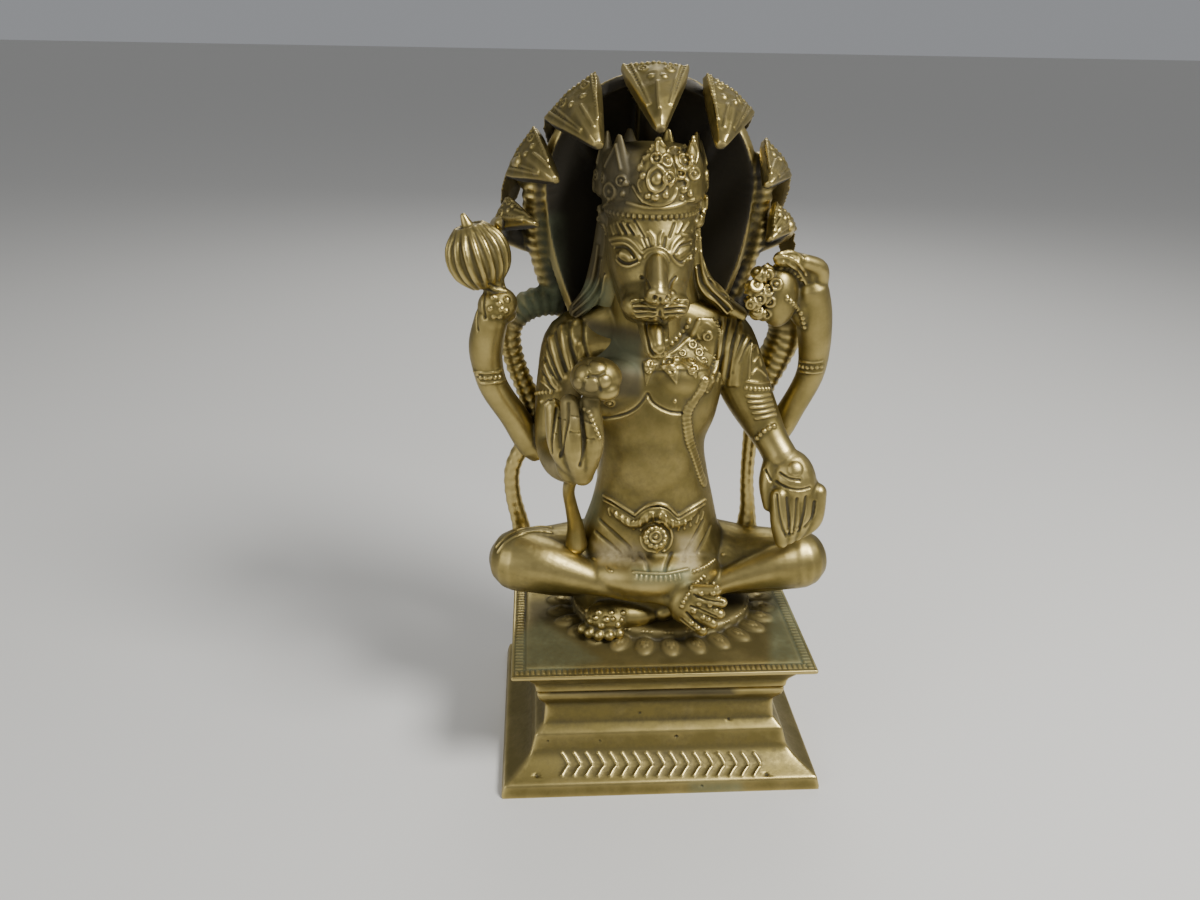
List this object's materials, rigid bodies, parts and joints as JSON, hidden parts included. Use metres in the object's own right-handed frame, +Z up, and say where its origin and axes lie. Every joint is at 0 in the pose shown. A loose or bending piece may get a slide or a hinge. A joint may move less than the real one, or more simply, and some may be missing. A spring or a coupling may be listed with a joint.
{
  "type": "narasimha statue",
  "caption": "Cast brass figurine of a seated lion-faced, many-armed deity under a cobra-head hood, on a square lotus seat and a stepped pedestal.",
  "frame": {"origin": "middle of the pedestal's underside, on the surface that the statue stands on", "axes": "+Z up; the figure faces -Y; +X towards the figure's own left, the viewer's right"},
  "size_m": [0.1636, 0.109, 0.2928],
  "materials": {
    "figure_brass": "cast brass, rubbed bright on high places, dark brown and verdigris in hollows",
    "pedestal_brass": "cast brass, worn satin, brown film and small pits"
  },
  "bodies": {
    "root": {"figure": "figure_brass", "pedestal": "pedestal_brass"}
  },
  "joints": []
}
